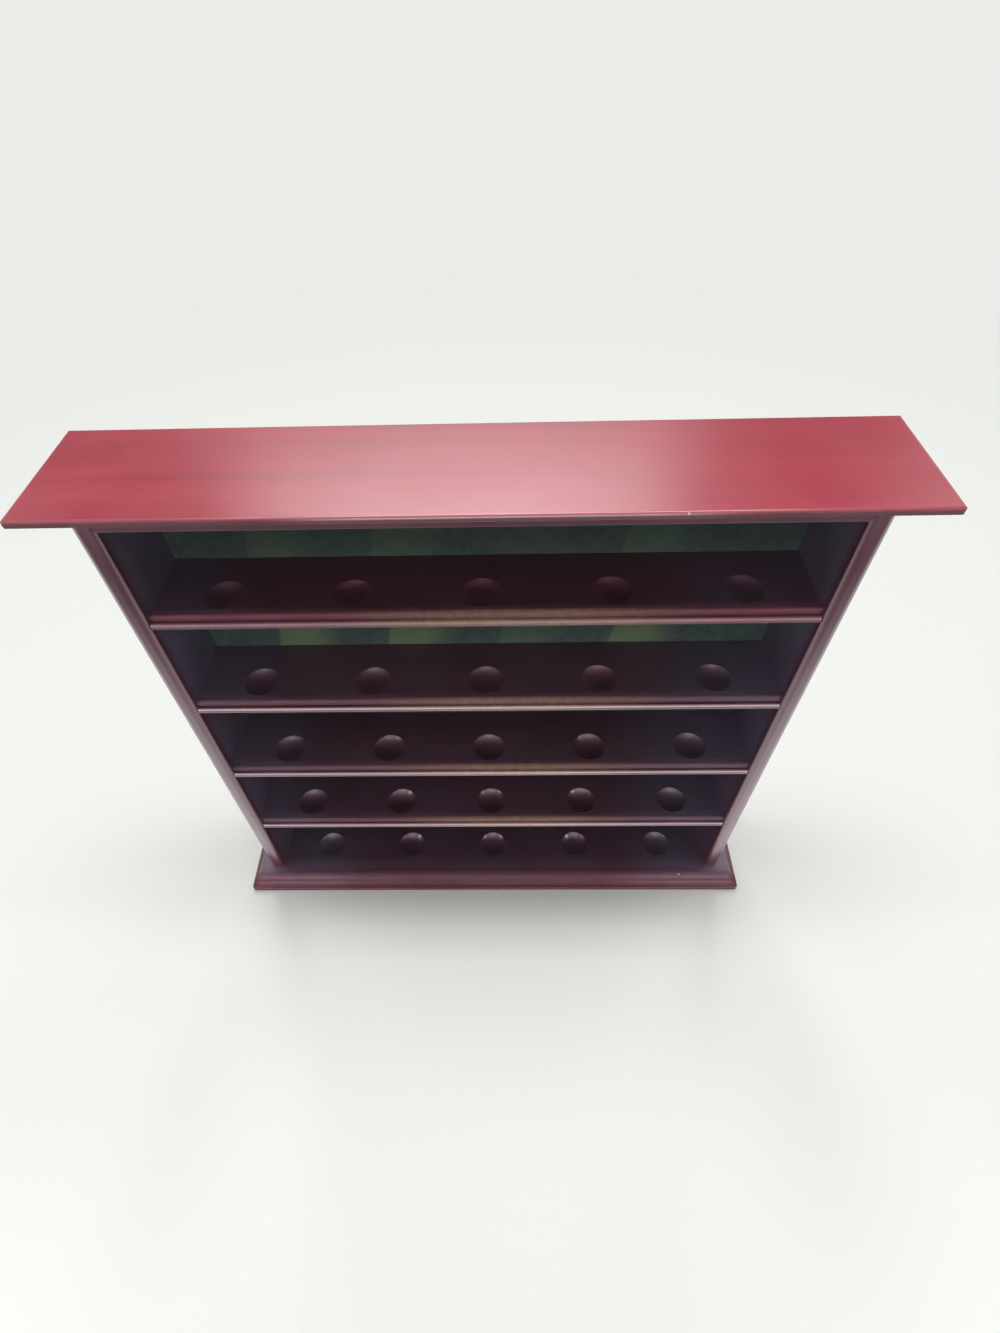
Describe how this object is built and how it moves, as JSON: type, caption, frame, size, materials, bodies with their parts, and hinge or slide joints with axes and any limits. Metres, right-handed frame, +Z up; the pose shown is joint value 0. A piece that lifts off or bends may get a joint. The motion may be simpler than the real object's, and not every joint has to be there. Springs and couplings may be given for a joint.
{
  "type": "golf ball display case",
  "caption": "Open-front wooden display case with dished ball seats on thin shelves, a felt-lined back, an overhanging crown board and a moulded base board.",
  "frame": {"origin": "on the surface the case stands on, at the middle of its overall width and depth", "axes": "+X to the viewer's right, +Y to the back, +Z up; the open front faces -Y"},
  "size_m": [0.296, 0.054, 0.2814],
  "materials": {
    "cherry_lacquer": "satin cherry lacquer",
    "green_felt": "matte wool felt",
    "hardboard": "smooth raw hardboard",
    "zinc_steel": "zinc plated",
    "brass_plate": "brass plated"
  },
  "bodies": {
    "root": {"crown_board": "cherry_lacquer", "top_panel": "cherry_lacquer", "left_side": "cherry_lacquer", "right_side": "cherry_lacquer", "top_shelf": "cherry_lacquer", "upper_shelf": "cherry_lacquer", "lower_shelf": "cherry_lacquer", "bottom_shelf": "cherry_lacquer", "base_board": "cherry_lacquer", "felt_lining": "green_felt", "back_panel": "hardboard", "crown_screws": "zinc_steel", "base_screws": "zinc_steel", "back_brads": "zinc_steel", "hanger_nails": "brass_plate", "wall_hangers": "brass_plate"}
  },
  "joints": []
}
